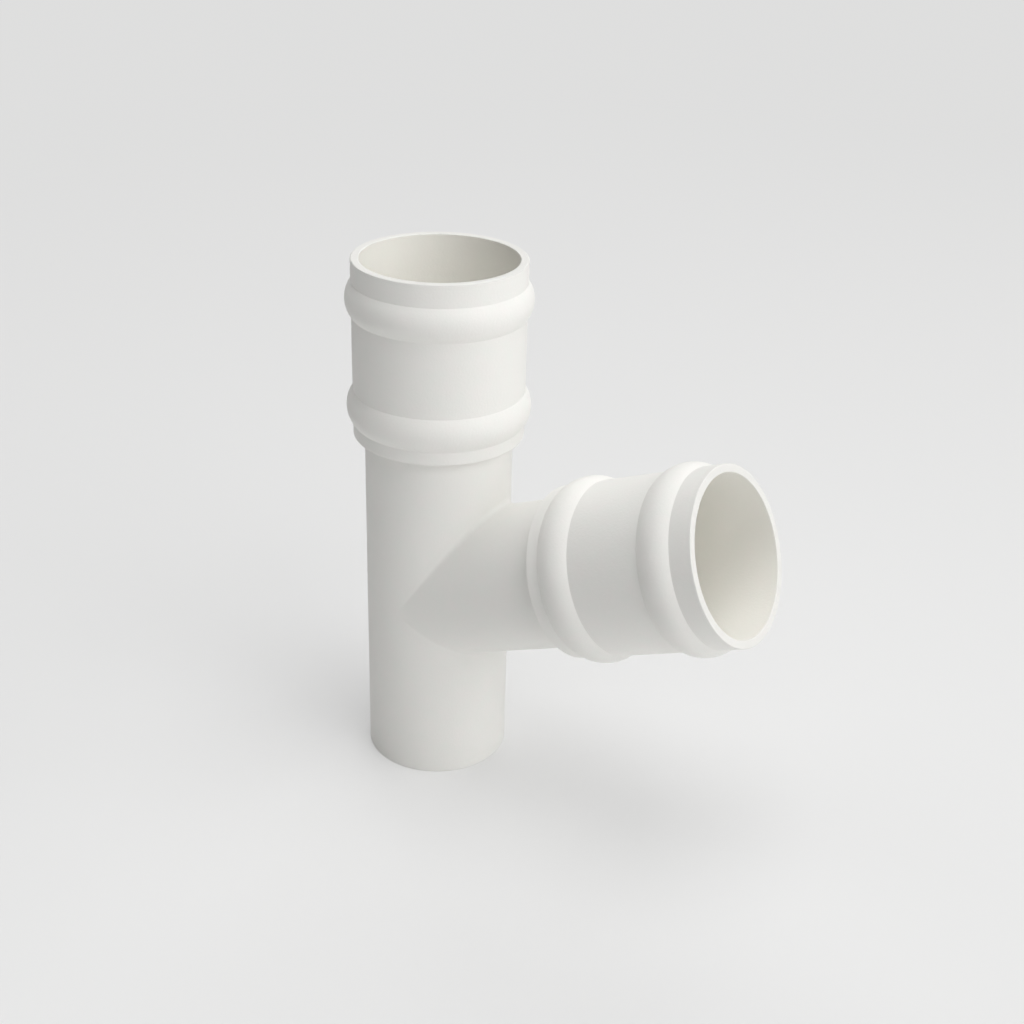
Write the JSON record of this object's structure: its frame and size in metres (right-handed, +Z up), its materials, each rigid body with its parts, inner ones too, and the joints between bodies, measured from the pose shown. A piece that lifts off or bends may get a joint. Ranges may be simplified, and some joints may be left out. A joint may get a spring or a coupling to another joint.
{
  "type": "downpipe branch",
  "caption": "Round downpipe branch: upright pipe with a plain spigot below and a double-beaded socket on top, and a rising side arm with the same socket.",
  "frame": {"origin": "centre of the spigot's end, on the stack's axis", "axes": "+Z up the stack's axis to the top socket, +X towards the arm's side, so the arm's axis lies in the XZ plane"},
  "size_m": [0.2087, 0.084, 0.25],
  "materials": {
    "moulding": "matt off-white"
  },
  "bodies": {
    "root": {"branch_body": "moulding"}
  },
  "joints": []
}
